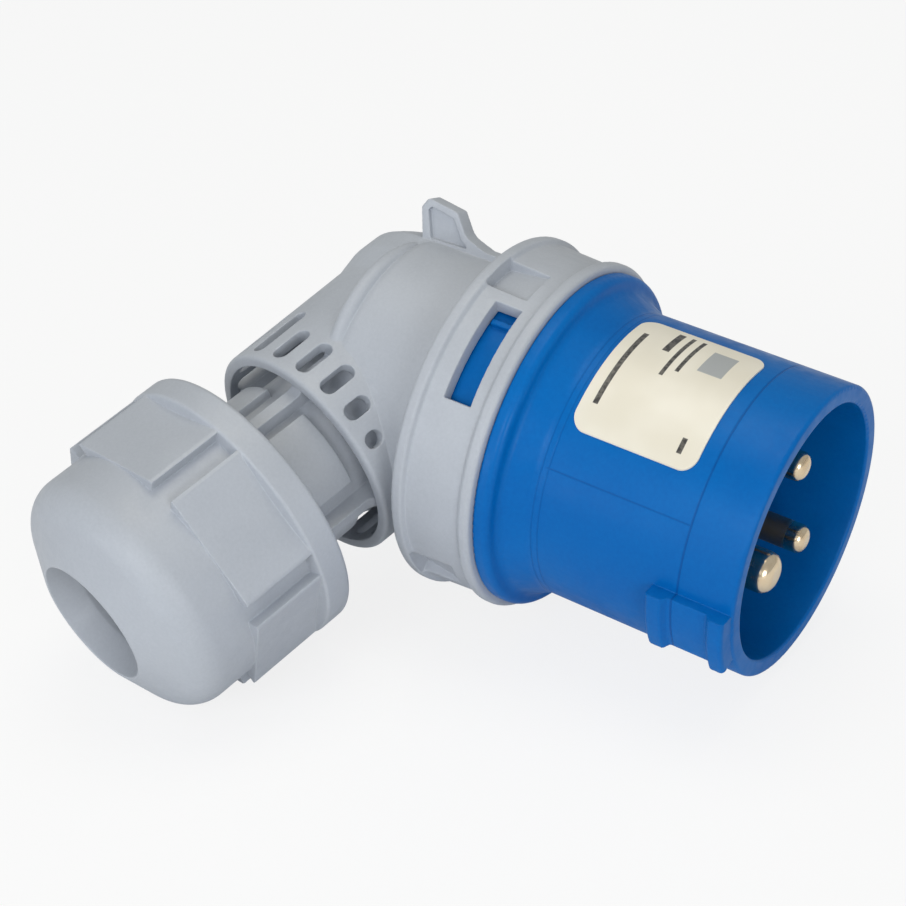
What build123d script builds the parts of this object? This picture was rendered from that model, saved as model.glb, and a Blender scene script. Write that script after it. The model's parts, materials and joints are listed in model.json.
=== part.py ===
from build123d import *
from math import acos, atan, atan2, cos, radians, sin, sqrt
import os

# An angled 16 A plug with three pins, in millimetres.
# It is modelled about its two axes. The plug axis is X, towards the mouth. The gland axis leaves it
# at the origin towards -Y, in the bend plane XY. Z is up. At the end every piece is laid down together,
# as the plug rests on a table.

# The two axes
bend_angle = 101.0              # from the mouth's direction round to the gland's
mouth_x = 78.5                  # the mouth's rim, from the crossing of the axes

# Shroud, of the standard 16 A size
shroud_d = 50.0
shroud_wall = 3.0
shroud_floor_x = 40.4           # the floor that the pins stand out of
shroud_floor_t = 3.0
flange_step = 4.4               # the flange stands this far out of the barrel
flange_t = 2.7
sweep_length = 5.0              # the concave sweep from the flange down to the barrel
tail_step = 2.2                 # the tube behind the flange, inside the collar, is wider by this
tail_wall = 3.0
tail_back_x = 20.8
rib_angle = 4.0                 # the latch rib that shows in each window
rib_h = 0.9

# Guide lug on the shroud, on the gland's side
lug_angle = 180.0
lug_span = 25.0
lug_length = 14.0
lug_h = 2.9
lug_end = 2.8                   # each raised end of the lug
lug_valley = 1.1

# Pins
pin_to_wall = 11.7              # from the pins' circle to the shroud's wall
pole_r = 2.5
earth_r = 3.5
earth_angle = 180.0
pole_recess = 2.5               # the two thinner pins end this far inside the mouth
pin_shoulder = 0.6              # the shank is thicker by this inside the carrier
pin_fit = 0.01
terminal_r = 4.4
terminal_back_x = 15.5
terminal_front_x = 30.0
wire_hole_r = 2.3
wire_hole_depth = 9.0
screw_r = 1.9
screw_head_r = 2.9
screw_head_t = 1.9
screw_slot = 0.8
terminal_screw_x = 19.5
plate_t = 0.8

# Carrier
carrier_back_x = 26.6
boss_in = 7.1                   # the boss's edge, in from the carrier's
carrier_screw_in = 4.3          # the screws' circle, in from the carrier's edge
carrier_screw_r = 1.5
carrier_screw_head_r = 2.7
carrier_screw_head_t = 1.8

# Elbow housing
elbow_r = 25.0                  # the barrel about the plug axis, and the ball behind it
elbow_end_x = -1.5              # the barrel's rounded end over the cable stem
elbow_end_round = 3.0
elbow_wall = 3.2
stem_ball_r = 22.0              # the stem about the gland axis, where it meets the ball
stem_r = 20.8
skirt_rim_r = 20.2
skirt_rim_g = 24.7
skirt_wall = 2.0
pocket_floor_g = 8.0
stem_floor_g = 5.0              # the end of the wiring room towards the gland

# Collar
collar_back_x = 18.8
collar_front_x = 33.6
collar_step = 0.9               # the collar stands this far out of the flange
collar_taper = 0.5
bead_h = 0.9
bead_w = 2.0
socket_back_x = 20.4
window_x = 24.2
window_length = 4.9
window_angle = 94.5
window_span = 35.0
collar_repeats = 3              # windows and pockets round the collar
pocket_angle = 76.0
pocket_pitch = 114.5
pocket_span = 14.0
pocket_front_x = 28.5
pocket_depth = 1.9              # at its back
pocket_rise = 1.0               # its floor rises towards its front

# Curved ridge over the barrel's end, lower towards its two ends
ridge_angle = 101.0
ridge_x = -1.4
ridge_h = 0.8
ridge_section_r = 1.5
ridge_centre_r = 6.0            # its circle's centre, from the plug axis

# Fin behind the collar, with its heights above the barrel
fin_angle = 57.0
fin_t = 3.2
fin_recess = 0.9
fin_rim = 1.4
fin_root = 1.5                  # how deep the fin is rooted in the barrel
fin_h = 6.9
fin_hook_h = 5.1
fin_top_h = 6.1
fin_foot_h = 2.4
fin_tail_h = 1.1
fin_hook_x = -2.6
fin_top_x = 4.5
fin_foot_x = 7.2
fin_tail_x = 11.5

# Slots round the skirt
slot_pitch = 16.4
slot_count = 18
slot_lowest_angle = -54.0
slot_w = 2.9
slot_end_g = 22.9
slot_start_g = 11.5             # where the elbow's barrel doesn't cover the stem
slot_short = 7.5                # the slot beside the barrel's end
slot_margin = 1.7               # between a slot and the barrel's crease

# Neck
neck_bore_r = 11.0
neck_r = 13.2
web_count = 4
web_angle = -5.0
web_t = 2.4
web_end_g = 36.9
web_r = 16.0                    # the webs' outer edge, in front of the skirt
web_round = 2.5
pad_r = 15.0
pad_start_g = 25.7
pad_from_web = 21.0
pad_span = 56.0
thread_r = 17.93
thread_root_r = 17.2
thread_back_g = 34.0
neck_end_g = 51.5
land_w = 1.3
ring_groove_w = 2.0
ring_groove_r = 16.0
seat_r = 14.6
seat_back_g = 36.0

# Gland nut
nut_back_g = 37.4
nut_nose = 6.5                  # the nut's front, beyond the cage's fingers
nut_flange_r = 24.8
nut_flange_t = 5.2
nut_body_r = 22.3
nut_flat = 22.6                 # from the axis to each flat
nut_corner_r = 24.6
nut_flat_in = 15.4              # the end of the flats, back from the nut's front
nut_groove_w = 4.4
nut_groove_angle = -17.0
nut_flats = 6
nut_front_slope = 5.2           # the front's slope towards the hole starts this far back
nut_front_round = 6.3
nut_hole_r = 9.8
nut_funnel_r = 11.2
nut_funnel_depth = 5.0
thread_gap = 0.07               # running clearance round the thread

# Clamping cage, washer and seals in the gland
slide_gap = 0.3
cage_free = 5.5                 # from the seal's flange to the cage
cage_flange_gap = 0.9           # from the neck's end to the cage's flange
cage_flange_t = 2.6
cage_flange_r = 17.4
finger_root_r = 14.9
finger_tip_r = 11.9
finger_length = 10.5
finger_count = 8
finger_slot = 1.3
washer_t = 1.0
seal_r = 10.5
seal_hole_r = 6.0
seal_flange_t = 3.0
seal_in = 2.0                   # the seal's front, back from the fingers' tips
seal_ring_section = 1.6
flange_seal_x = 30.4
flange_seal_w = 2.0
flange_seal_depth = 1.0

# Rating label, a thin foil on the barrel
label_x = 44.0
label_length = 22.0
label_angle = 93.0
label_width = 25.4
label_t = 0.25
label_corner = 2.6

# Values worked out from those above
shroud_r = shroud_d / 2
shroud_bore_r = shroud_r - shroud_wall
flange_r = shroud_r + flange_step
collar_r = flange_r + collar_step
tail_r = shroud_r + tail_step
lug_r = shroud_r + lug_h
pin_circle_r = shroud_bore_r - pin_to_wall
carrier_r = tail_r - tail_wall - slide_gap
boss_r = carrier_r - boss_in
carrier_screw_circle_r = carrier_r - carrier_screw_in
shroud_floor_back_x = shroud_floor_x - shroud_floor_t
barrel_back_x = collar_front_x + flange_t + sweep_length
socket_r = tail_r + slide_gap
cavity_r = elbow_r - elbow_wall
skirt_bore_r = skirt_rim_r - skirt_wall
nut_thread_r = thread_r + thread_gap
cage_bore_r = seal_r + slide_gap
cage_back_g = seat_back_g + seal_flange_t + cage_free
cage_flange_g = neck_end_g + cage_flange_gap
finger_tip_g = cage_flange_g + cage_flange_t + finger_length
seal_front_g = finger_tip_g - seal_in
nut_shoulder_g = cage_flange_g + cage_flange_t + washer_t + slide_gap
nut_front_g = finger_tip_g + nut_nose
nut_flat_end_g = nut_front_g - nut_flat_in
up = Vector(0, 0, 1)
gland_axis = Vector(cos(radians(bend_angle)), -sin(radians(bend_angle)), 0)
gland_side = gland_axis.cross(up)
plug_line = Axis((0, 0, 0), (1, 0, 0))
gland_line = Axis((0, 0, 0), gland_axis)


def across_plug(x):
    """A plane square to the plug axis. Angles on it go from +Y round to +Z."""
    return Plane(origin=(x, 0, 0), x_dir=(0, 1, 0), z_dir=(1, 0, 0))


def along_plug(angle):
    """A plane through the plug axis. Its x is the axis and its y points out at the angle."""
    turn = radians(angle)
    return Plane(origin=(0, 0, 0), x_dir=(1, 0, 0), z_dir=(0, -sin(turn), cos(turn)))


def out_of_plug(angle, x, radius):
    """A plane facing out from the plug axis at the angle, with its x along the axis."""
    turn = radians(angle)
    outward = Vector(0, cos(turn), sin(turn))
    return Plane(origin=outward * radius + Vector(x, 0, 0), x_dir=(1, 0, 0), z_dir=outward)


def across_gland(g):
    """A plane square to the gland axis. Angles on it go from up round to the side away from the mouth."""
    return Plane(origin=gland_axis * g, x_dir=up, z_dir=gland_axis)


def along_gland(angle):
    """A plane through the gland axis. Its x is the axis and its y points out at the angle."""
    turn = radians(angle)
    return Plane(origin=(0, 0, 0), x_dir=gland_axis, z_dir=gland_side * cos(turn) - up * sin(turn))


def out_of_gland(angle, g, radius):
    """A plane facing out from the gland axis at the angle, with its x along the axis."""
    turn = radians(angle)
    outward = up * cos(turn) + gland_side * sin(turn)
    return Plane(origin=outward * radius + gland_axis * g, x_dir=gland_axis, z_dir=outward)


def outline(points):
    """A closed outline through (along, out, corner radius) points."""
    FilletPolyline(*[(along, out) for along, out, _ in points], radius=[c for _, _, c in points], close=True)


def barrel_crease(angle):
    """How far along the gland axis the elbow's barrel covers the stem, at an angle round the stem."""
    height = stem_r * cos(radians(angle))
    lean = stem_r * sin(radians(angle)) * gland_side.Y
    return (sqrt(elbow_r ** 2 - height ** 2) + lean) / -gland_axis.Y


# Elbow housing: barrel and collar, ball and stem, skirt, neck, fin
rear_bead_r = collar_r + bead_h
front_band_r = collar_r - collar_taper
front_bead_r = front_band_r + bead_h
with BuildPart() as elbow_housing:
    with BuildSketch(along_plug(90)):
        with BuildLine():
            outline([
                (elbow_end_x, 0, 0),
                (elbow_end_x, elbow_r, elbow_end_round),
                (collar_back_x - 1.2, elbow_r, 1.5),
                (collar_back_x, rear_bead_r, 0.9),
                (collar_back_x + bead_w, rear_bead_r, 0.6),
                (collar_back_x + bead_w + bead_h / 2, collar_r, 0.3),
                (collar_front_x - bead_w - bead_h / 2, front_band_r, 0.3),
                (collar_front_x - bead_w, front_bead_r, 0.6),
                (collar_front_x, front_bead_r, 0.8),
                (collar_front_x, 0, 0),
            ])
        make_face()
    revolve(axis=plug_line)
    ball_meet_g = -sqrt(elbow_r ** 2 - stem_ball_r ** 2)
    with BuildSketch(along_gland(0)):
        with BuildLine():
            RadiusArc((ball_meet_g, stem_ball_r), (-elbow_r, 0), -elbow_r)
            FilletPolyline(
                (ball_meet_g, stem_ball_r),
                (-7.5, stem_ball_r),
                (-2.5, stem_r),
                (skirt_rim_g, skirt_rim_r),
                (skirt_rim_g, 0),
                (-elbow_r, 0),
                radius=[4.0, 4.0, 0.8, 0],
            )
        make_face()
    revolve(axis=gland_line)
    # Open room round the neck, inside the skirt
    with BuildPart(mode=Mode.PRIVATE) as barrel_keep:
        with BuildSketch(across_plug(elbow_end_x)):
            Circle(cavity_r + 1.6)
        extrude(amount=collar_front_x)
    with BuildPart(mode=Mode.PRIVATE) as skirt_room:
        with BuildSketch(across_gland(pocket_floor_g)):
            Circle(skirt_bore_r)
            Circle(neck_r, mode=Mode.SUBTRACT)
        extrude(amount=skirt_rim_g - pocket_floor_g + 1)
        add(barrel_keep.part, mode=Mode.SUBTRACT)
    add(skirt_room.part, mode=Mode.SUBTRACT)
    # Neck with its thread's lands and its ring groove
    with BuildSketch(along_gland(0)):
        with BuildLine():
            outline([
                (stem_floor_g, 0, 0),
                (stem_floor_g, neck_r, 0),
                (thread_back_g, neck_r, 1.5),
                (thread_back_g + 1.5, thread_r, 0.5),
                (web_end_g + land_w, thread_r, 0),
                (web_end_g + land_w, ring_groove_r, 0),
                (web_end_g + land_w + ring_groove_w, ring_groove_r, 0),
                (web_end_g + land_w + ring_groove_w, thread_r, 0),
                (web_end_g + 2 * land_w + ring_groove_w, thread_r, 0),
                (web_end_g + 2 * land_w + ring_groove_w + 0.7, thread_root_r, 0),
                (neck_end_g - land_w - 0.7, thread_root_r, 0),
                (neck_end_g - land_w, thread_r, 0),
                (neck_end_g, thread_r, 0.6),
                (neck_end_g, 0, 0),
            ])
        make_face()
    revolve(axis=gland_line)
    for turn in range(web_count):
        web_plane = along_gland(web_angle + turn * 360 / web_count)
        with BuildSketch(web_plane):
            with BuildLine():
                outline([
                    (stem_floor_g + 1, neck_r - 1, 0),
                    (stem_floor_g + 1, skirt_bore_r + 0.6, 0),
                    (skirt_rim_g - 2.6, skirt_bore_r + 0.6, 0),
                    (skirt_rim_g - 0.6, web_r, web_round),
                    (web_end_g, web_r, 0),
                    (web_end_g, neck_r - 1, 0),
                ])
            make_face()
        extrude(amount=web_t / 2, both=True)
        with BuildSketch(along_gland(web_angle + turn * 360 / web_count + pad_from_web)):
            with BuildLine():
                outline([
                    (pad_start_g, neck_r - 1, 0),
                    (pad_start_g, pad_r, 0.5),
                    (thread_back_g + 1, pad_r, 0),
                    (thread_back_g + 1, neck_r - 1, 0),
                ])
            make_face()
        revolve(axis=gland_line, revolution_arc=pad_span)
    # Ridge over the barrel's end
    ridge_plane = along_plug(ridge_angle)
    with BuildSketch(ridge_plane):
        with Locations((ridge_x, elbow_r + ridge_h - ridge_section_r)):
            Circle(ridge_section_r)
    revolve(axis=Axis(ridge_plane.y_dir * ridge_centre_r, (1, 0, 0)))
    # Fin, rooted in the barrel and the collar
    with BuildSketch(along_plug(fin_angle)) as fin_face:
        with BuildLine():
            outline([
                (fin_hook_x / 3, elbow_r - fin_root, 0),
                (fin_hook_x, elbow_r + fin_hook_h, 0.6),
                (0.6 * fin_hook_x, elbow_r + fin_h, 0.8),
                (fin_top_x, elbow_r + fin_top_h, 0.8),
                (fin_foot_x, elbow_r + fin_foot_h, 4.0),
                (fin_tail_x, elbow_r + fin_tail_h, 0),
                (collar_back_x + 1, elbow_r + fin_tail_h, 0),
                (collar_back_x + 1, elbow_r - fin_root, 0),
            ])
        make_face()
    extrude(amount=fin_t / 2, both=True)
    for side in (1, -1):
        flank = along_plug(fin_angle).offset(side * (fin_t / 2 - fin_recess))
        with BuildSketch(flank):
            with BuildLine():
                outline([
                    (fin_rim - 1.0, elbow_r + 0.3, 0.3),
                    (fin_hook_x + fin_rim, elbow_r + fin_hook_h - 0.2, 0.3),
                    (0.6 * fin_hook_x + 0.6 * fin_rim, elbow_r + fin_h - 1.3, 0.3),
                    (fin_top_x - 0.5, elbow_r + fin_top_h - 1.2, 0.3),
                    (fin_foot_x - 0.9, elbow_r + fin_foot_h - 0.7, 1.5),
                    (fin_foot_x + 0.8, elbow_r + 0.6, 0.2),
                ])
            make_face()
        extrude(amount=side * fin_t, mode=Mode.SUBTRACT)
    # Wiring room, socket for the insert, and the way through the neck
    with BuildSketch(along_plug(90)):
        with BuildLine():
            outline([
                (0, 0, 0),
                (0, cavity_r, 0),
                (socket_back_x - 2.5, cavity_r, 0),
                (socket_back_x, cavity_r + 1.8, 0),
                (socket_back_x, socket_r, 0),
                (collar_front_x + 1, socket_r, 0),
                (collar_front_x + 1, 0, 0),
            ])
        make_face()
    revolve(axis=plug_line, mode=Mode.SUBTRACT)
    stem_cavity_r = stem_ball_r - elbow_wall
    cavity_meet_g = -sqrt(cavity_r ** 2 - stem_cavity_r ** 2)
    with BuildSketch(along_gland(0)):
        with BuildLine():
            RadiusArc((cavity_meet_g, stem_cavity_r), (-cavity_r, 0), -cavity_r)
            Polyline(
                (cavity_meet_g, stem_cavity_r),
                (cavity_meet_g + 4, stem_cavity_r - 1.5),
                (stem_floor_g, stem_cavity_r - 1.5),
                (stem_floor_g, neck_bore_r),
                (seat_back_g, neck_bore_r),
                (seat_back_g, seat_r),
                (neck_end_g + 1, seat_r),
                (neck_end_g + 1, 0),
                (-cavity_r, 0),
            )
        make_face()
    revolve(axis=gland_line, mode=Mode.SUBTRACT)
    # Slots through the skirt
    for step in range(slot_count):
        angle = slot_lowest_angle + step * slot_pitch
        start = slot_start_g
        if abs(angle - 90) > 85:
            start = barrel_crease(angle) + slot_margin * cos(radians(angle)) ** 2
        elif abs(angle - 90) > 70:
            start = slot_end_g - slot_short
        middle = (start + slot_end_g) / 2
        with BuildSketch(out_of_gland(angle, middle, skirt_bore_r - 0.7)):
            SlotOverall(slot_end_g - start, slot_w)
        extrude(amount=skirt_wall + 3, mode=Mode.SUBTRACT)
    # Windows through the collar, and pockets with a sloping floor
    for turn in range(collar_repeats):
        shift = turn * 360 / collar_repeats
        with BuildSketch(along_plug(window_angle + shift)):
            with BuildLine():
                outline([
                    (window_x, socket_r - 1, 0),
                    (window_x, rear_bead_r + 1, 0),
                    (window_x + window_length, rear_bead_r + 1, 0),
                    (window_x + window_length, socket_r - 1, 0),
                ])
            make_face()
        revolve(axis=plug_line, revolution_arc=window_span, mode=Mode.SUBTRACT)
        with BuildSketch(along_plug(pocket_angle + turn * pocket_pitch)):
            with BuildLine():
                outline([
                    (collar_back_x + bead_w, collar_r - pocket_depth, 0),
                    (collar_back_x + bead_w, rear_bead_r + 1, 0),
                    (pocket_front_x, rear_bead_r + 1, 0),
                    (pocket_front_x, collar_r - pocket_depth + pocket_rise, 0),
                ])
            make_face()
        revolve(axis=plug_line, revolution_arc=pocket_span, mode=Mode.SUBTRACT)

# Shroud insert: tail, flange, barrel, floor and guide lug
flange_front_x = collar_front_x + flange_t
with BuildPart() as shroud_insert:
    with BuildSketch(along_plug(90)):
        with BuildLine():
            outline([
                (tail_back_x, tail_r - tail_wall, 0),
                (tail_back_x, tail_r, 0.5),
                (flange_seal_x, tail_r, 0),
                (flange_seal_x, tail_r - flange_seal_depth, 0),
                (flange_seal_x + flange_seal_w, tail_r - flange_seal_depth, 0),
                (flange_seal_x + flange_seal_w, tail_r, 0),
                (collar_front_x, tail_r, 0),
                (collar_front_x, flange_r, 0.4),
                (flange_front_x, flange_r, 1.4),
                (flange_front_x + 0.5, shroud_r + 2.0, 1.6),
                (barrel_back_x, shroud_r, 3.0),
                (mouth_x, shroud_r, 0.7),
                (mouth_x, shroud_bore_r, 0.5),
                (shroud_floor_x, shroud_bore_r, 0.8),
                (shroud_floor_x, boss_r + slide_gap / 2, 0),
                (shroud_floor_back_x, boss_r + slide_gap / 2, 0),
                (shroud_floor_back_x, tail_r - tail_wall, 0.8),
            ])
        make_face()
    revolve(axis=plug_line)
    with BuildSketch(along_plug(lug_angle - lug_span / 2)):
        with BuildLine():
            outline([
                (mouth_x - lug_length, shroud_r - 1, 0),
                (mouth_x - lug_length, lug_r, 0.8),
                (mouth_x - lug_length + lug_end, lug_r, 0.6),
                (mouth_x - lug_length + lug_end + 0.8, lug_r - lug_valley, 0.5),
                (mouth_x - lug_end - 0.8, lug_r - lug_valley, 0.5),
                (mouth_x - lug_end, lug_r, 0.6),
                (mouth_x - 0.3, lug_r, 0.8),
                (mouth_x - 0.3, shroud_r - 1, 0),
            ])
        make_face()
    revolve(axis=plug_line, revolution_arc=lug_span)
    # Latch ribs that show in the collar's windows
    for turn in range(collar_repeats):
        shift = turn * 360 / collar_repeats
        with BuildSketch(along_plug(window_angle + rib_angle + shift)):
            with BuildLine():
                outline([
                    (window_x + slide_gap, tail_r - 1, 0),
                    (window_x + slide_gap, tail_r + rib_h, 0),
                    (window_x + window_length - slide_gap, tail_r + rib_h, 0),
                    (window_x + window_length - slide_gap, tail_r - 1, 0),
                ])
            make_face()
        revolve(axis=plug_line, revolution_arc=rib_angle / 2)
    # Blind holes for the carrier's screws
    for turn in range(collar_repeats):
        with BuildSketch(across_plug(shroud_floor_back_x)):
            with PolarLocations(carrier_screw_circle_r, 1, start_angle=turn * 360 / collar_repeats):
                Circle(carrier_screw_r)
        extrude(amount=shroud_floor_t - 0.8, mode=Mode.SUBTRACT)

# Poles: name, angle round the plug axis, pin radius, how far the tip is inside the mouth
poles = [
    ("earth", earth_angle, earth_r, 0.0),
    ("line", earth_angle + 120, pole_r, pole_recess),
    ("neutral", earth_angle - 120, pole_r, pole_recess),
]

# Contact carrier: a disc behind the shroud's floor, with a boss through it
with BuildPart() as contact_carrier:
    with BuildSketch(along_plug(90)):
        with BuildLine():
            outline([
                (carrier_back_x, 0, 0),
                (carrier_back_x, carrier_r, 0.5),
                (shroud_floor_back_x, carrier_r, 1.0),
                (shroud_floor_back_x, boss_r, 0),
                (shroud_floor_x, boss_r, 0.4),
                (shroud_floor_x, 0, 0),
            ])
        make_face()
    revolve(axis=plug_line)
    for name, angle, radius, recess in poles:
        with BuildSketch(across_plug(carrier_back_x)):
            with PolarLocations(pin_circle_r, 1, start_angle=angle):
                Circle(radius + pin_shoulder + pin_fit)
        extrude(amount=shroud_floor_x - carrier_back_x, mode=Mode.SUBTRACT)
        with BuildSketch(across_plug(carrier_back_x)):
            with PolarLocations(pin_circle_r, 1, start_angle=angle):
                Circle(terminal_r + pin_fit)
        extrude(amount=terminal_front_x - carrier_back_x, mode=Mode.SUBTRACT)
    for turn in range(collar_repeats):
        with BuildSketch(across_plug(carrier_back_x)):
            with PolarLocations(carrier_screw_circle_r, 1, start_angle=turn * 360 / collar_repeats):
                Circle(carrier_screw_r + 0.2)
        extrude(amount=shroud_floor_back_x - carrier_back_x, mode=Mode.SUBTRACT)

pieces = {
    "elbow_housing": elbow_housing,
    "shroud_insert": shroud_insert,
    "contact_carrier": contact_carrier,
}

# Pins with their terminals, terminal screws and clamp plates
for name, angle, radius, recess in poles:
    tip_x = mouth_x - recess
    side = out_of_plug(angle, 0, pin_circle_r)
    pin_axis = Axis(side.origin, (1, 0, 0))
    tip_round = radius * 0.62
    with BuildPart() as pin:
        with BuildSketch(Plane(origin=side.origin, x_dir=(1, 0, 0), z_dir=side.y_dir)):
            with BuildLine():
                outline([
                    (terminal_back_x, 0, 0),
                    (terminal_back_x, terminal_r, 0.5),
                    (terminal_front_x, terminal_r, 0),
                    (terminal_front_x, radius + pin_shoulder, 0),
                    (shroud_floor_x - 0.5, radius + pin_shoulder, 0),
                    (shroud_floor_x - 0.5, radius, 0),
                    (tip_x, radius, tip_round),
                    (tip_x, 0, 0),
                ])
            make_face()
        revolve(axis=pin_axis)
        with BuildSketch(Plane(origin=side.origin + Vector(terminal_back_x, 0, 0), z_dir=(1, 0, 0))):
            Circle(wire_hole_r)
        extrude(amount=wire_hole_depth, mode=Mode.SUBTRACT)
        with BuildSketch(out_of_plug(angle, terminal_screw_x, pin_circle_r)):
            Circle(screw_r)
        extrude(amount=terminal_r + 1, mode=Mode.SUBTRACT)
    screw_foot_r = pin_circle_r + wire_hole_r - 0.9
    screw_head_foot_r = pin_circle_r + terminal_r + 0.6
    with BuildPart() as screw:
        with BuildSketch(out_of_plug(angle, terminal_screw_x, screw_foot_r)):
            Circle(screw_r)
        extrude(amount=screw_head_foot_r - screw_foot_r)
        with BuildSketch(out_of_plug(angle, terminal_screw_x, screw_head_foot_r)):
            Circle(screw_head_r)
        extrude(amount=screw_head_t)
        with BuildSketch(out_of_plug(angle, terminal_screw_x, screw_head_foot_r + screw_head_t)):
            Rectangle(3 * screw_head_r, screw_slot)
        extrude(amount=-screw_head_t / 2, mode=Mode.SUBTRACT)
    with BuildPart() as plate:
        with BuildSketch(out_of_plug(angle, terminal_screw_x, screw_foot_r - plate_t)):
            Circle(screw_r - 0.1)
        extrude(amount=plate_t)
    pieces[name + "_pin"] = pin
    pieces[name + "_terminal_screw"] = screw
    pieces[name + "_clamp_plate"] = plate

# Screws that hold the carrier to the shroud's floor
for turn in range(collar_repeats):
    with BuildPart() as carrier_screw:
        with BuildSketch(across_plug(carrier_back_x)):
            with PolarLocations(carrier_screw_circle_r, 1, start_angle=turn * 360 / collar_repeats):
                Circle(carrier_screw_r)
        extrude(amount=shroud_floor_back_x + shroud_floor_t - 1.0 - carrier_back_x)
        with BuildSketch(across_plug(carrier_back_x)):
            with PolarLocations(carrier_screw_circle_r, 1, start_angle=turn * 360 / collar_repeats):
                Circle(carrier_screw_head_r)
        extrude(amount=-carrier_screw_head_t)
        with BuildSketch(across_plug(carrier_back_x - carrier_screw_head_t)):
            with PolarLocations(carrier_screw_circle_r, 1, start_angle=turn * 360 / collar_repeats):
                Rectangle(3 * carrier_screw_head_r, screw_slot)
        extrude(amount=carrier_screw_head_t / 2, mode=Mode.SUBTRACT)
    pieces[f"carrier_screw_{turn + 1}"] = carrier_screw

# Sealing ring between the insert's tail and the collar
with BuildPart() as flange_seal:
    with BuildSketch(along_plug(90)):
        with BuildLine():
            outline([
                (flange_seal_x + 0.1, tail_r - flange_seal_depth + 0.02, 0.3),
                (flange_seal_x + 0.1, socket_r - 0.02, 0.3),
                (flange_seal_x + flange_seal_w - 0.1, socket_r - 0.02, 0.3),
                (flange_seal_x + flange_seal_w - 0.1, tail_r - flange_seal_depth + 0.02, 0.3),
            ])
        make_face()
    revolve(axis=plug_line)
pieces["flange_seal"] = flange_seal

# Gland nut: flange, flats with grooves between them, rounded front, funnel
with BuildPart() as gland_nut:
    with BuildSketch(along_gland(0)):
        with BuildLine():
            outline([
                (nut_back_g, 0, 0),
                (nut_back_g, nut_flange_r, 0.9),
                (nut_back_g + nut_flange_t, nut_flange_r, 0.6),
                (nut_back_g + nut_flange_t + 0.5, nut_body_r, 0),
                (nut_front_g - nut_front_slope, nut_body_r, nut_front_round),
                (nut_front_g, nut_funnel_r + 0.4, 0),
                (nut_front_g, 0, 0),
            ])
        make_face()
    revolve(axis=gland_line)
    with BuildPart(mode=Mode.PRIVATE) as flats:
        with BuildSketch(across_gland(nut_back_g + nut_flange_t / 2)):
            RegularPolygon(nut_flat, nut_flats, major_radius=False, rotation=nut_groove_angle)
        extrude(amount=nut_flat_end_g - nut_back_g - nut_flange_t / 2)
        with BuildSketch(across_gland(nut_back_g)):
            Circle(nut_corner_r)
        extrude(amount=nut_front_g - nut_back_g, mode=Mode.INTERSECT)
        for turn in range(nut_flats):
            angle = nut_groove_angle + turn * 360 / nut_flats
            with BuildSketch(out_of_gland(angle, nut_front_g / 2, nut_body_r - 0.4)):
                Rectangle(2 * nut_front_g, nut_groove_w)
            extrude(amount=nut_corner_r, mode=Mode.SUBTRACT)
    add(flats.part)
    with BuildSketch(along_gland(0)):
        with BuildLine():
            outline([
                (nut_back_g - 1, 0, 0),
                (nut_back_g - 1, nut_thread_r + 1.8, 0),
                (nut_back_g + 0.8, nut_thread_r, 0),
                (nut_shoulder_g, nut_thread_r, 0),
                (nut_shoulder_g, finger_root_r + slide_gap, 0),
                (finger_tip_g, finger_tip_r + slide_gap, 0),
                (finger_tip_g + slide_gap, nut_hole_r, 0),
                (nut_front_g - nut_funnel_depth, nut_hole_r, 0),
                (nut_front_g, nut_funnel_r, 0),
                (nut_front_g + 1, nut_funnel_r + 1, 0),
                (nut_front_g + 1, 0, 0),
            ])
        make_face()
    revolve(axis=gland_line, mode=Mode.SUBTRACT)
pieces["gland_nut"] = gland_nut

# Clamping cage: a sliding ring, a flange, and fingers that the nut's cone closes
with BuildPart() as clamping_cage:
    with BuildSketch(along_gland(0)):
        with BuildLine():
            outline([
                (cage_back_g, cage_bore_r, 0),
                (cage_back_g, seat_r - slide_gap, 0.4),
                (cage_flange_g, seat_r - slide_gap, 0),
                (cage_flange_g, cage_flange_r, 0.4),
                (cage_flange_g + cage_flange_t, cage_flange_r, 0.4),
                (cage_flange_g + cage_flange_t, finger_root_r, 0),
                (finger_tip_g, finger_tip_r, 0.3),
                (finger_tip_g, cage_bore_r, 0),
            ])
        make_face()
    revolve(axis=gland_line)
    for turn in range(finger_count):
        slot_start = cage_flange_g + cage_flange_t + 1.5
        with BuildSketch(out_of_gland(turn * 360 / finger_count, (slot_start + finger_tip_g) / 2, 8)):
            Rectangle(finger_tip_g - slot_start + 0.02, finger_slot)
        extrude(amount=finger_root_r, mode=Mode.SUBTRACT)
pieces["clamping_cage"] = clamping_cage

# Thrust washer between the cage's flange and the nut's shoulder
with BuildPart() as thrust_washer:
    with BuildSketch(across_gland(cage_flange_g + cage_flange_t)):
        Circle(cage_flange_r)
        Circle(finger_root_r + 0.1, mode=Mode.SUBTRACT)
    extrude(amount=washer_t)
pieces["thrust_washer"] = thrust_washer

# Rubber sleeve that the cage closes on the cable
with BuildPart() as gland_seal:
    with BuildSketch(along_gland(0)):
        with BuildLine():
            outline([
                (seat_back_g, seal_hole_r, 0),
                (seat_back_g, seat_r - 0.1, 0.3),
                (seat_back_g + seal_flange_t, seat_r - 0.1, 0.3),
                (seat_back_g + seal_flange_t, seal_r, 0.5),
                (seal_front_g, seal_r, 0.6),
                (seal_front_g, seal_hole_r, 0),
            ])
        make_face()
    revolve(axis=gland_line)
pieces["gland_seal"] = gland_seal

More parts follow.
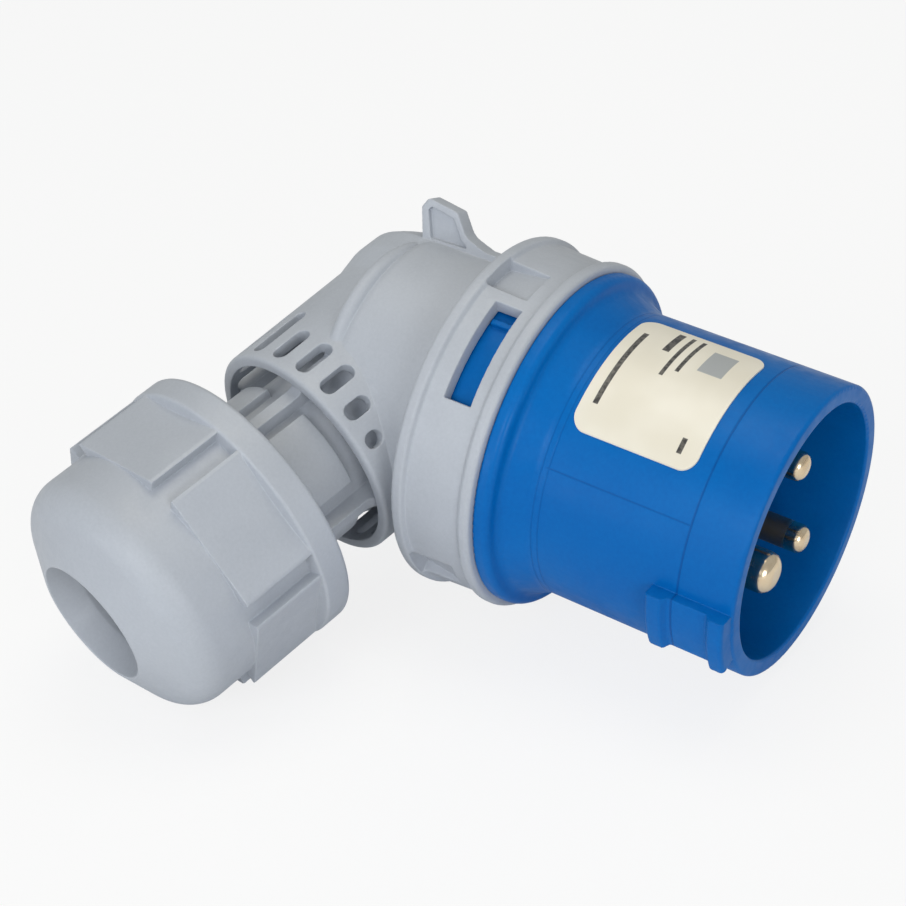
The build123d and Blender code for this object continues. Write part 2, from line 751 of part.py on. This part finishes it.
# Ring in the neck's groove, that keeps water out of the nut
neck_ring_g = web_end_g + land_w
with BuildPart() as neck_ring:
    with BuildSketch(along_gland(0)):
        with BuildLine():
            outline([
                (neck_ring_g + 0.1, ring_groove_r + 0.02, 0.4),
                (neck_ring_g + 0.1, ring_groove_r + seal_ring_section, 0.4),
                (neck_ring_g + ring_groove_w - 0.1, ring_groove_r + seal_ring_section, 0.4),
                (neck_ring_g + ring_groove_w - 0.1, ring_groove_r + 0.02, 0.4),
            ])
        make_face()
    revolve(axis=gland_line)
pieces["neck_ring"] = neck_ring

# Rating label
with BuildPart() as rating_label:
    with BuildSketch(out_of_plug(label_angle, label_x + label_length / 2, 0)):
        RectangleRounded(label_length, label_width, label_corner)
    extrude(amount=shroud_d)
    with BuildSketch(across_plug(label_x - 1)):
        Circle(shroud_r + 0.02 + label_t)
        Circle(shroud_r + 0.02, mode=Mode.SUBTRACT)
    extrude(amount=label_length + 2, mode=Mode.INTERSECT)
pieces["rating_label"] = rating_label

# The plug lies on the collar's front bead, the shroud's mouth and the nut's flange. The down direction
# makes the lowest points of those three circles level.
bead_x = collar_front_x - bead_w / 2
nose_down = atan((front_bead_r - shroud_r) / (mouth_x - bead_x))
lowest = bead_x * sin(nose_down) + front_bead_r * cos(nose_down)
nut_edge_g = nut_back_g + nut_flange_t
nut_reach = sqrt(nut_edge_g ** 2 + nut_flange_r ** 2)
gland_down = atan2(nut_edge_g, nut_flange_r) - acos(lowest / nut_reach)
down_x = sin(nose_down)
down_y = (sin(gland_down) - gland_axis.X * down_x) / gland_axis.Y
down = Vector(down_x, down_y, -sqrt(1 - down_x ** 2 - down_y ** 2))
forward = (Vector(1, 0, 0) - down * down_x).normalized()
table = Plane(origin=down * lowest, x_dir=forward, z_dir=down * -1)

# Laying the pieces on the table, with the origin under the middle of the whole plug
laid = {name: piece.part.moved(table.location.inverse()) for name, piece in pieces.items()}
boxes = [part.bounding_box() for part in laid.values()]
middle_x = (min(box.min.X for box in boxes) + max(box.max.X for box in boxes)) / 2
middle_y = (min(box.min.Y for box in boxes) + max(box.max.Y for box in boxes)) / 2
middle = Location((-middle_x, -middle_y, -min(box.min.Z for box in boxes)))
os.makedirs("parts", exist_ok=True)
for name, piece in pieces.items():
    piece.part = laid[name].moved(middle)
    piece.part.label = name
    export_step(piece.part, f"parts/{name}.step")
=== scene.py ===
import bpy
import bmesh
import json
from math import cos, pi, radians, sin
from mathutils import Matrix, Vector

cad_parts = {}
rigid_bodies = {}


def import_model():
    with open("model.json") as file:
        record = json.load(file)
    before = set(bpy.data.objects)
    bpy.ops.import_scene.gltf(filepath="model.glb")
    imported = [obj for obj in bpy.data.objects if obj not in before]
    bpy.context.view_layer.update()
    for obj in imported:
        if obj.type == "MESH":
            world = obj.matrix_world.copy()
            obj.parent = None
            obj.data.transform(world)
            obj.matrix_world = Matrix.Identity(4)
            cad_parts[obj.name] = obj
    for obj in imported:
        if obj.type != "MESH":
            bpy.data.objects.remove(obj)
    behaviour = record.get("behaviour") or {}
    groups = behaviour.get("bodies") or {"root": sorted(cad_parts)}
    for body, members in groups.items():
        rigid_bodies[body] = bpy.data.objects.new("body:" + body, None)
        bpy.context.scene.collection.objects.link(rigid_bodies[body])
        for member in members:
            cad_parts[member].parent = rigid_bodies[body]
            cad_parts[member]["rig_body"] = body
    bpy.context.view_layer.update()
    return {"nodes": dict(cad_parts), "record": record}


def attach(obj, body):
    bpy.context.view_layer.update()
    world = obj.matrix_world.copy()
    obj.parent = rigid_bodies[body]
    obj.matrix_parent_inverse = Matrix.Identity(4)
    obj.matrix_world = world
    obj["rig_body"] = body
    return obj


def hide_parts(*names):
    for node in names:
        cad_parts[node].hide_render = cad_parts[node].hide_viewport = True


# Angled plug: grey elbow housing, blue shroud with three pins, cable gland with its nut.
# Everything is in metres unless a note says mm. The plug axis runs to the shroud's mouth,
# the gland axis to the nut.

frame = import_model()
nodes = frame["nodes"]
print("packed model loaded:", len(nodes), "nodes")

# The plug's own axes, as it lies on the table
elbowCentre = Vector((-0.022157092, 0.020289539, 0.037216117))
plugAxis = Vector((0.992377342, 0.0, -0.123236402))
plugSide = Vector((0.033977, 0.961242, 0.273605)).normalized()
plugUp = plugAxis.cross(plugSide)
glandAxis = Vector((-0.222707401, -0.943581018, -0.245063821))
glandSide = glandAxis.cross(plugUp).normalized()


def onGland(along, out, angle):  # a point beside the gland axis, in mm, with its angle from plugUp
    turn = radians(angle)
    beside = (plugUp * cos(turn) + glandSide * sin(turn)) * out
    return elbowCentre + (glandAxis * along + beside) / 1000


# Camera of the photograph
cameraSet = {
    "place": (0.182449, -0.251282, 0.215641),
    "look": (-0.50624559, 0.70416374, -0.49786401),
    "up": (-0.23609443, 0.44208662, 0.86534252),
    "lens": 86.567, "sensor": 36, "near": 0.01, "far": 10,
}
cameraData = bpy.data.cameras.new("productCamera")
cameraData.sensor_width = cameraSet["sensor"]
cameraData.lens = cameraSet["lens"]
cameraData.clip_start, cameraData.clip_end = cameraSet["near"], cameraSet["far"]
camera = bpy.data.objects.new("productCamera", cameraData)
bpy.context.scene.collection.objects.link(camera)
look, above = Vector(cameraSet["look"]).normalized(), Vector(cameraSet["up"]).normalized()
rightward = look.cross(above)
turnedTo = Matrix((rightward, above, -look)).transposed().to_4x4()
camera.matrix_world = Matrix.Translation(cameraSet["place"]) @ turnedTo
bpy.context.scene.camera = camera
print("camera placed")

# Studio: soft lamps, white surroundings for the camera
studio = {
    "ambient": 0.44,
    "ambientColour": (0.93, 0.97, 1.0, 1),
    "floorHalf": 3.0,
    "floorTone": 0.90,
    "floorWhite": 0.82,        # the share that is plain white to the camera, the rest keeps the shadow
    "lamps": [                 # name, place, target, size, power, colour
        ("keyLamp", (0.05, -0.80, 0.42), (0.0, 0.0, 0.03), 0.50, 2.3, (0.92, 0.95, 1.0)),
        ("topLamp", (0.00, 0.05, 0.88), (0.0, 0.0, 0.03), 0.60, 2.0, (1.0, 0.94, 0.80)),
        ("sideLamp", (0.70, -0.50, 0.22), (0.0, 0.0, 0.03), 0.35, 1.7, (0.95, 0.97, 1.0)),
        ("lowLamp", (-0.40, -0.75, 0.10), (-0.03, -0.03, 0.02), 0.30, 0.7, (0.93, 0.96, 1.0)),
    ],
}
for name, place, target, size, power, colour in studio["lamps"]:
    lamp = bpy.data.lights.new(name, "AREA")
    lamp.shape = "DISK"
    lamp.size = size
    lamp.energy = power
    lamp.color = colour
    lampObject = bpy.data.objects.new(name, lamp)
    lampObject.location = place
    aim = Vector(target) - Vector(place)
    lampObject.rotation_euler = aim.to_track_quat("-Z", "Y").to_euler()
    bpy.context.scene.collection.objects.link(lampObject)


class Shader:  # a node tree with short ways to add its nodes

    def __init__(self, tree):
        self.tree = tree
        tree.nodes.clear()

    def feed(self, node, inputs):
        for key, value in inputs.items():
            if isinstance(value, bpy.types.NodeSocket):
                self.tree.links.new(value, node.inputs[key])
            else:
                node.inputs[key].default_value = value

    def add(self, kind, inputs=None, **settings):
        node = self.tree.nodes.new(kind)
        for key, value in settings.items():
            setattr(node, key, value)
        self.feed(node, inputs or {})
        return node

    def math(self, operation, a, b=0.0, c=0.0, clamp=False):
        inputs = {0: a, 1: b, 2: c}
        return self.add("ShaderNodeMath", inputs, operation=operation, use_clamp=clamp).outputs[0]

    def ramp(self, value, low, high, to0=0.0, to1=1.0):
        inputs = {0: value, 1: low, 2: high, 3: to0, 4: to1}
        return self.add("ShaderNodeMapRange", inputs, interpolation_type="SMOOTHSTEP").outputs[0]

    def noise(self, place, scale, detail=3.0, roughness=0.5):
        inputs = {"Vector": place, "Scale": scale, "Detail": detail, "Roughness": roughness}
        return self.add("ShaderNodeTexNoise", inputs).outputs["Fac"]

    def uneven(self, place, scale, detail=3.0, low=0.0, high=1.0):  # drifts between two values
        return self.ramp(self.noise(place, scale, detail), 0.3, 0.7, low, high)

    def mix(self, share, a, b):
        node = self.add("ShaderNodeMix", data_type="RGBA")
        self.feed(node, {0: share, 6: a, 7: b})
        return node.outputs[2]


world = bpy.data.worlds.new("studioWorld")
bpy.context.scene.world = world
world.use_nodes = True
sky = Shader(world.node_tree)
path = sky.add("ShaderNodeLightPath")
seen = sky.math("MAXIMUM", path.outputs["Is Camera Ray"], path.outputs["Is Transmission Ray"])
ambient = {"Color": studio["ambientColour"], "Strength": studio["ambient"]}
soft = sky.add("ShaderNodeBackground", ambient)
white = sky.add("ShaderNodeBackground", {"Color": (1, 1, 1, 1), "Strength": 1.0})
both = sky.add("ShaderNodeMixShader", {0: seen, 1: soft.outputs[0], 2: white.outputs[0]})
sky.add("ShaderNodeOutputWorld", {"Surface": both.outputs[0]})

floorMesh = bpy.data.meshes.new("studioFloor")
floorShape = bmesh.new()
bmesh.ops.create_grid(floorShape, x_segments=1, y_segments=1, size=studio["floorHalf"])
floorShape.to_mesh(floorMesh)
floorShape.free()
floor = bpy.data.objects.new("studioFloor", floorMesh)
bpy.context.scene.collection.objects.link(floor)
floorMaterial = bpy.data.materials.new("studioPaper")
floorMaterial.use_nodes = True
paper = Shader(floorMaterial.node_tree)
path = paper.add("ShaderNodeLightPath")
tone = studio["floorTone"]
matt = paper.add("ShaderNodeBsdfDiffuse", {"Color": (tone, tone, tone, 1)})
glow = paper.add("ShaderNodeEmission", {"Color": (1, 1, 1, 1), "Strength": 1.0})
share = paper.math("MULTIPLY", path.outputs["Is Camera Ray"], studio["floorWhite"])
both = paper.add("ShaderNodeMixShader", {0: share, 1: matt.outputs[0], 2: glow.outputs[0]})
paper.add("ShaderNodeOutputMaterial", {"Surface": both.outputs[0]})
floorMesh.materials.append(floorMaterial)

bpy.context.scene.view_settings.view_transform = "Standard"
print("studio lit")


# Finishes
def newFinish(name):
    material = bpy.data.materials.new(name)
    material.use_nodes = True
    shader = Shader(material.node_tree)
    place = shader.add("ShaderNodeTexCoord").outputs["Object"]
    return material, shader, place


def closeFinish(shader, colour, roughness, bumps, **sockets):
    inputs = {"Base Color": colour, "Roughness": roughness, **sockets}
    for height, strength, depth in bumps:  # laid over each other, with the depth in mm
        bump = {"Height": height, "Strength": strength, "Distance": depth / 1000}
        if "Normal" in inputs:
            bump["Normal"] = inputs["Normal"]
        inputs["Normal"] = shader.add("ShaderNodeBump", bump).outputs[0]
    surface = shader.add("ShaderNodeBsdfPrincipled", inputs)
    shader.add("ShaderNodeOutputMaterial", {"Surface": surface.outputs[0]})


def plugPlace(shader, place):  # mm along the plug axis, degrees round it, mm out from it
    def vector(operation, a, b):
        return shader.add("ShaderNodeVectorMath", {0: a, 1: tuple(b)}, operation=operation)

    fromCentre = vector("SUBTRACT", place, elbowCentre).outputs[0]
    ahead, aside, upward = [vector("DOT_PRODUCT", fromCentre, axis).outputs["Value"]
                            for axis in (plugAxis, plugSide, plugUp)]
    along = shader.math("MULTIPLY", ahead, 1000.0)
    angle = shader.math("MULTIPLY", shader.math("ARCTAN2", upward, aside), 180 / pi)
    squares = shader.math("ADD", shader.math("POWER", aside, 2.0), shader.math("POWER", upward, 2.0))
    out = shader.math("MULTIPLY", shader.math("SQRT", squares), 1000.0)
    return along, angle, out


def line(shader, value, at, half, edge):  # 1 on a thin line where the value is near a number, 0 off it
    away = shader.math("ABSOLUTE", shader.math("SUBTRACT", value, at))
    return shader.ramp(away, half, half + edge, 1.0, 0.0)


def mottled(shader, place, cloudScale, speckleScale, speckle):  # a slow cloud with a fine speckle over it
    cloud = shader.ramp(shader.noise(place, cloudScale, 2.0), 0.35, 0.65, 0.30, 0.70)
    grain = shader.math("SUBTRACT", shader.noise(place, speckleScale, 2.0, 0.6), 0.5)
    return shader.math("ADD", cloud, shader.math("MULTIPLY", grain, speckle), clamp=True)


greySet = {
    "light": (0.480, 0.507, 0.550, 1), "dark": (0.415, 0.440, 0.482, 1),
    "cloudScale": 55.0, "speckleScale": 1900.0, "speckle": 1.0,
    "roughScale": 420.0, "roughLow": 0.40, "roughHigh": 0.55,
    "grainScale": 1400.0, "grain": 0.10, "grainDepth": 0.12,
    "waveScale": 160.0, "wave": 0.05, "waveDepth": 0.2,
}
greyPlastic, shader, place = newFinish("greyMoulding")
tone = mottled(shader, place, greySet["cloudScale"], greySet["speckleScale"], greySet["speckle"])
colour = shader.mix(tone, greySet["dark"], greySet["light"])
roughness = shader.uneven(place, greySet["roughScale"], 3.0, greySet["roughLow"], greySet["roughHigh"])
closeFinish(shader, colour, roughness, [
    (shader.noise(place, greySet["grainScale"], 4.0, 0.65), greySet["grain"], greySet["grainDepth"]),
    (shader.noise(place, greySet["waveScale"], 1.0), greySet["wave"], greySet["waveDepth"]),
])

blueSet = {
    "light": (0.001, 0.150, 0.485, 1), "dark": (0.000, 0.112, 0.405, 1), "shine": 0.12,
    "cloudScale": 45.0, "speckleScale": 1500.0, "speckle": 0.8,
    "roughScale": 380.0, "roughLow": 0.28, "roughHigh": 0.40,
    "grainScale": 900.0, "grain": 0.05, "grainDepth": 0.08,
    "waveScale": 120.0, "wave": 0.05, "waveDepth": 0.2,
    # The seam colour is painted shade in the seam grooves.
    "seamShadeColour": (0.003, 0.045, 0.22, 1), "seamShadeShare": 0.45, "seamBump": 0.6, "seamDepth": 0.12,
    "seams": [                 # rings round the barrel: mm along the plug, half width, edge, share
        (68.7, 0.10, 0.12, 1.0),
        (42.0, 0.06, 0.14, 0.5),
        (43.2, 0.06, 0.14, 0.5),
    ],
    "sideSeamAngle": 140.0, "sideSeamHalf": 0.18, "sideSeamEdge": 0.25, "sideSeamShare": 0.7,
    "sideSeamFrom": (42.6, 43.0), "sideSeamTo": (68.4, 68.8),
    "seamsOutside": (23.6, 24.0),
}
bluePlastic, shader, place = newFinish("blueMoulding")
tone = mottled(shader, place, blueSet["cloudScale"], blueSet["speckleScale"], blueSet["speckle"])
along, angle, out = plugPlace(shader, place)
seam = 0.0
for at, half, edge, share in blueSet["seams"]:
    ring = shader.math("MULTIPLY", line(shader, along, at, half, edge), share)
    seam = shader.math("MAXIMUM", seam, ring)
beside = line(shader, angle, blueSet["sideSeamAngle"], blueSet["sideSeamHalf"], blueSet["sideSeamEdge"])
onBarrel = shader.math("MULTIPLY", shader.ramp(along, *blueSet["sideSeamFrom"]),
                       shader.ramp(along, *blueSet["sideSeamTo"], 1.0, 0.0))
beside = shader.math("MULTIPLY", shader.math("MULTIPLY", beside, onBarrel), blueSet["sideSeamShare"])
seam = shader.math("MAXIMUM", seam, beside)
seam = shader.math("MULTIPLY", seam, shader.ramp(out, *blueSet["seamsOutside"]))
colour = shader.mix(tone, blueSet["dark"], blueSet["light"])
# Painted shade: the seam grooves are darkened in colour; the grooves themselves are in the bump below.
colour = shader.mix(shader.math("MULTIPLY", seam, blueSet["seamShadeShare"]), colour, blueSet["seamShadeColour"])
roughness = shader.uneven(place, blueSet["roughScale"], 3.0, blueSet["roughLow"], blueSet["roughHigh"])
closeFinish(shader, colour, roughness, [
    (shader.noise(place, blueSet["grainScale"], 3.0, 0.6), blueSet["grain"], blueSet["grainDepth"]),
    (shader.noise(place, blueSet["waveScale"], 1.0), blueSet["wave"], blueSet["waveDepth"]),
    (shader.math("SUBTRACT", 1.0, seam), blueSet["seamBump"], blueSet["seamDepth"]),
], **{"Specular IOR Level": blueSet["shine"]})

carrierSet = {"dark": (0.004, 0.060, 0.25, 1), "light": (0.006, 0.080, 0.31, 1), "toneScale": 700.0,
              "roughScale": 300.0, "roughLow": 0.38, "roughHigh": 0.5,
              "grainScale": 1200.0, "grain": 0.1, "grainDepth": 0.1}
carrierPlastic, shader, place = newFinish("carrierMoulding")
tone = shader.uneven(place, carrierSet["toneScale"])
colour = shader.mix(tone, carrierSet["dark"], carrierSet["light"])
roughness = shader.uneven(place, carrierSet["roughScale"], 2.0, carrierSet["roughLow"], carrierSet["roughHigh"])
grain = shader.noise(place, carrierSet["grainScale"], 3.0)
closeFinish(shader, colour, roughness, [(grain, carrierSet["grain"], carrierSet["grainDepth"])])

pinSet = {
    # The dark shank colour is painted shade and painted dark reflection; the bright and warm colours are the
    # pin's own metal.
    "bright": (0.94, 0.78, 0.56, 1), "warm": (0.80, 0.60, 0.38, 1), "inkWearAndShankShade": (0.34, 0.29, 0.21, 1),
    "shankShadeFrom": 72.2, "shankShadeTo": 73.6,            # mm along the plug, where the painted shade on the shank ends
    "stainScale": 260.0, "stainShift": 0.8, "ringPitch": 9.0, "ringBump": 0.25, "ringDepth": 0.02,
    "roughLow": 0.16, "roughHigh": 0.30, "roughShank": 0.42,
}
pinMetal, shader, place = newFinish("turnedNickel")
along = plugPlace(shader, place)[0]
stain = shader.ramp(shader.noise(place, pinSet["stainScale"], 4.0, 0.6), 0.35, 0.75)
turning = {"W": shader.math("MULTIPLY", along, pinSet["ringPitch"]), "Scale": 1.0, "Detail": 3.0}
rings = shader.add("ShaderNodeTexNoise", turning, noise_dimensions="1D").outputs["Fac"]
shifted = shader.math("ADD", along, shader.math("MULTIPLY", stain, pinSet["stainShift"]))
tip = shader.ramp(shifted, pinSet["shankShadeFrom"], pinSet["shankShadeTo"])
# Painted shade: the shank is coloured dark up to the tip, and the tip keeps the bright metal.
colour = shader.mix(tip, pinSet["inkWearAndShankShade"], shader.mix(stain, pinSet["bright"], pinSet["warm"]))
turned = shader.math("ADD", shader.math("MULTIPLY", rings, 0.6), shader.math("MULTIPLY", stain, 0.4))
polished = shader.ramp(turned, 0.2, 0.8, pinSet["roughLow"], pinSet["roughHigh"])
smoother = shader.math("SUBTRACT", polished, pinSet["roughShank"])
roughness = shader.math("MULTIPLY_ADD", tip, smoother, pinSet["roughShank"])
closeFinish(shader, colour, roughness, [(rings, pinSet["ringBump"], pinSet["ringDepth"])], Metallic=1.0)

steelSet = {"dark": (0.50, 0.51, 0.53, 1), "light": (0.66, 0.67, 0.68, 1), "stainScale": 900.0,
            "roughLow": 0.25, "roughHigh": 0.42, "grainScale": 2400.0, "grain": 0.1, "grainDepth": 0.02}
steelMetal, shader, place = newFinish("zincPlate")
stain = shader.noise(place, steelSet["stainScale"], 3.0)
colour = shader.mix(stain, steelSet["dark"], steelSet["light"])
roughness = shader.ramp(stain, 0.3, 0.7, steelSet["roughLow"], steelSet["roughHigh"])
grain = shader.noise(place, steelSet["grainScale"], 2.0)
closeFinish(shader, colour, roughness, [(grain, steelSet["grain"], steelSet["grainDepth"])], Metallic=1.0)

rubberSet = {"dark": (0.012, 0.015, 0.014, 1), "light": (0.034, 0.040, 0.038, 1), "bloomScale": 330.0,
             "roughLow": 0.45, "roughHigh": 0.62, "grainScale": 1500.0, "grain": 0.15, "grainDepth": 0.08}
rubber, shader, place = newFinish("sealRubber")
bloom = shader.ramp(shader.noise(place, rubberSet["bloomScale"], 4.0, 0.6), 0.35, 0.75)
colour = shader.mix(bloom, rubberSet["dark"], rubberSet["light"])
roughness = shader.ramp(bloom, 0.0, 1.0, rubberSet["roughLow"], rubberSet["roughHigh"])
grain = shader.noise(place, rubberSet["grainScale"], 3.0)
closeFinish(shader, colour, roughness, [(grain, rubberSet["grain"], rubberSet["grainDepth"])])

cageSet = {"dark": (0.030, 0.036, 0.036, 1), "light": (0.048, 0.056, 0.056, 1), "toneScale": 500.0,
           "roughLow": 0.34, "roughHigh": 0.46, "grainScale": 1300.0, "grain": 0.1, "grainDepth": 0.08}
darkPlastic, shader, place = newFinish("cageMoulding")
tone = shader.uneven(place, cageSet["toneScale"])
colour = shader.mix(tone, cageSet["dark"], cageSet["light"])
roughness = shader.ramp(tone, 0.0, 1.0, cageSet["roughLow"], cageSet["roughHigh"])
grain = shader.noise(place, cageSet["grainScale"], 3.0)
closeFinish(shader, colour, roughness, [(grain, cageSet["grain"], cageSet["grainDepth"])])

labelSet = {
    "film": (0.800, 0.745, 0.615, 1), "filmPale": (0.860, 0.810, 0.690, 1), "filmScale": 90.0,
    "ink": (0.045, 0.042, 0.040, 1), "wearScale": 1600.0, "wear": 0.90,
    "rows": [                  # plain bars: mm along the plug, half thickness, from angle, to angle
        (46.4, 0.40, 74.0, 112.0),
        (51.2, 0.55, 66.0, 80.0),
        (53.3, 0.30, 66.0, 92.0),
        (55.2, 0.30, 66.0, 88.0),
        (62.6, 0.38, 112.0, 118.0),
    ],
    "field": (60.0, 2.1, 70.0, 84.0), "fieldTone": (0.30, 0.33, 0.36, 1), "fieldShare": 0.8,
    "roughScale": 500.0, "roughLow": 0.30, "roughHigh": 0.42,
    "grainScale": 700.0, "grain": 0.05, "grainDepth": 0.05,
}
labelFilm, shader, place = newFinish("printedFilm")
along, angle, out = plugPlace(shader, place)


def bar(at, half, start, end):
    started = shader.ramp(angle, start - 0.2, start + 0.2)
    within = shader.math("MULTIPLY", started, shader.ramp(angle, end - 0.2, end + 0.2, 1.0, 0.0))
    return shader.math("MULTIPLY", line(shader, along, at, half, 0.10), within)


printed = 0.0
for row in labelSet["rows"]:
    printed = shader.math("MAXIMUM", printed, bar(*row))
inkWearAndShankShade = shader.ramp(shader.noise(place, labelSet["wearScale"], 2.0), 0.42, 0.60, labelSet["wear"], 1.0)
field = shader.math("MULTIPLY", bar(*labelSet["field"]), labelSet["fieldShare"])
colour = shader.mix(shader.uneven(place, labelSet["filmScale"], 2.0), labelSet["film"], labelSet["filmPale"])
colour = shader.mix(field, colour, labelSet["fieldTone"])
colour = shader.mix(shader.math("MULTIPLY", printed, inkWearAndShankShade), colour, labelSet["ink"])
roughness = shader.uneven(place, labelSet["roughScale"], 2.0, labelSet["roughLow"], labelSet["roughHigh"])
grain = shader.noise(place, labelSet["grainScale"], 2.0)
closeFinish(shader, colour, roughness, [(grain, labelSet["grain"], labelSet["grainDepth"])])
print("finishes mixed")

finishOf = {
    "grey_plastic": greyPlastic, "blue_plastic": bluePlastic, "carrier_plastic": carrierPlastic,
    "nickel_plate": pinMetal, "zinc_steel": steelMetal, "black_rubber": rubber,
    "dark_plastic": darkPlastic, "label_film": labelFilm,
}
slotOf = {part["node"]: part["material_slot"] for part in frame["record"]["subparts"]}
for name, node in nodes.items():
    node.data.materials.clear()
    node.data.materials.append(finishOf[slotOf[name]])


# Moulded pieces: a copy of the solid with its edges softened as a mould leaves them
softSet = {                    # node: copy's name, share of the grid filled, smoothing rounds, share kept
    "elbow_housing": ("elbowShell", 0.99, 5, 0.065),
    "gland_nut": ("nutShell", 0.60, 5, 0.17),
    "shroud_insert": ("shroudShell", 0.80, 3, 0.07),
}


def softened(node, name, scale, rounds, keep):
    source = nodes[node]
    mesh = source.data.copy()
    merged = bmesh.new()
    merged.from_mesh(mesh)
    bmesh.ops.remove_doubles(merged, verts=merged.verts, dist=1e-7)
    merged.to_mesh(mesh)
    merged.free()
    piece = bpy.data.objects.new(name, mesh)
    bpy.context.scene.collection.objects.link(piece)
    remesh = piece.modifiers.new("skin", "REMESH")
    remesh.mode = "SHARP"
    remesh.octree_depth = 9
    remesh.scale = scale
    remesh.use_remove_disconnected = False
    smooth = piece.modifiers.new("soften", "SMOOTH")
    smooth.factor = 0.5
    smooth.iterations = rounds
    thin = piece.modifiers.new("thin", "DECIMATE")
    thin.ratio = keep
    evaluated = piece.evaluated_get(bpy.context.evaluated_depsgraph_get())
    finished = bpy.data.meshes.new_from_object(evaluated)
    piece.modifiers.clear()
    piece.data = finished
    finished.name = name
    for face in finished.polygons:
        face.use_smooth = True
    finished.materials.clear()
    finished.materials.append(finishOf[slotOf[node]])
    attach(piece, source["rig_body"])
    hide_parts(node)
    finished.calc_loop_triangles()
    print(name, "made:", len(finished.loop_triangles), "triangles")


for node, choices in softSet.items():
    softened(node, *choices)


# Thread on the neck, a helical ridge between the lands, in mm
threadSet = {"from": 41.2, "turns": 2.6, "pitch": 3.0, "stepsInTurn": 72,
             "root": 17.15, "crest": 17.80, "rootHalf": 0.95, "crestHalf": 0.30}
ridge = bmesh.new()
profile = [(-threadSet["rootHalf"], threadSet["root"]), (-threadSet["crestHalf"], threadSet["crest"]),
           (threadSet["crestHalf"], threadSet["crest"]), (threadSet["rootHalf"], threadSet["root"])]
corners = [ridge.verts.new(onGland(threadSet["from"] + along, out, 0)) for along, out in profile]
edges = [ridge.edges.new((corners[k], corners[(k + 1) % 4])) for k in range(4)]
climb = glandAxis * threadSet["pitch"] / 1000 / threadSet["stepsInTurn"]
bmesh.ops.spin(ridge, geom=corners + edges, cent=elbowCentre, axis=glandAxis, dvec=climb,
               angle=2 * pi * threadSet["turns"],
               steps=int(threadSet["turns"] * threadSet["stepsInTurn"]), use_merge=False)
bmesh.ops.holes_fill(ridge, edges=[e for e in ridge.edges if e.is_boundary], sides=4)
bmesh.ops.recalc_face_normals(ridge, faces=ridge.faces)
ridgeMesh = bpy.data.meshes.new("neckThread")
ridge.to_mesh(ridgeMesh)
ridge.free()
ridgeMesh.materials.append(greyPlastic)
neckThread = bpy.data.objects.new("neckThread", ridgeMesh)
bpy.context.scene.collection.objects.link(neckThread)
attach(neckThread, "housing")
print("thread cut")

# Faces of the solids that stay, shaded smooth up to their real edges
edgeAngle = 32
for name, node in nodes.items():
    if node.hide_render:
        continue
    node.data.shade_smooth()
    split = node.modifiers.new("edges", "EDGE_SPLIT")
    split.split_angle = radians(edgeAngle)

print("pieces ready")
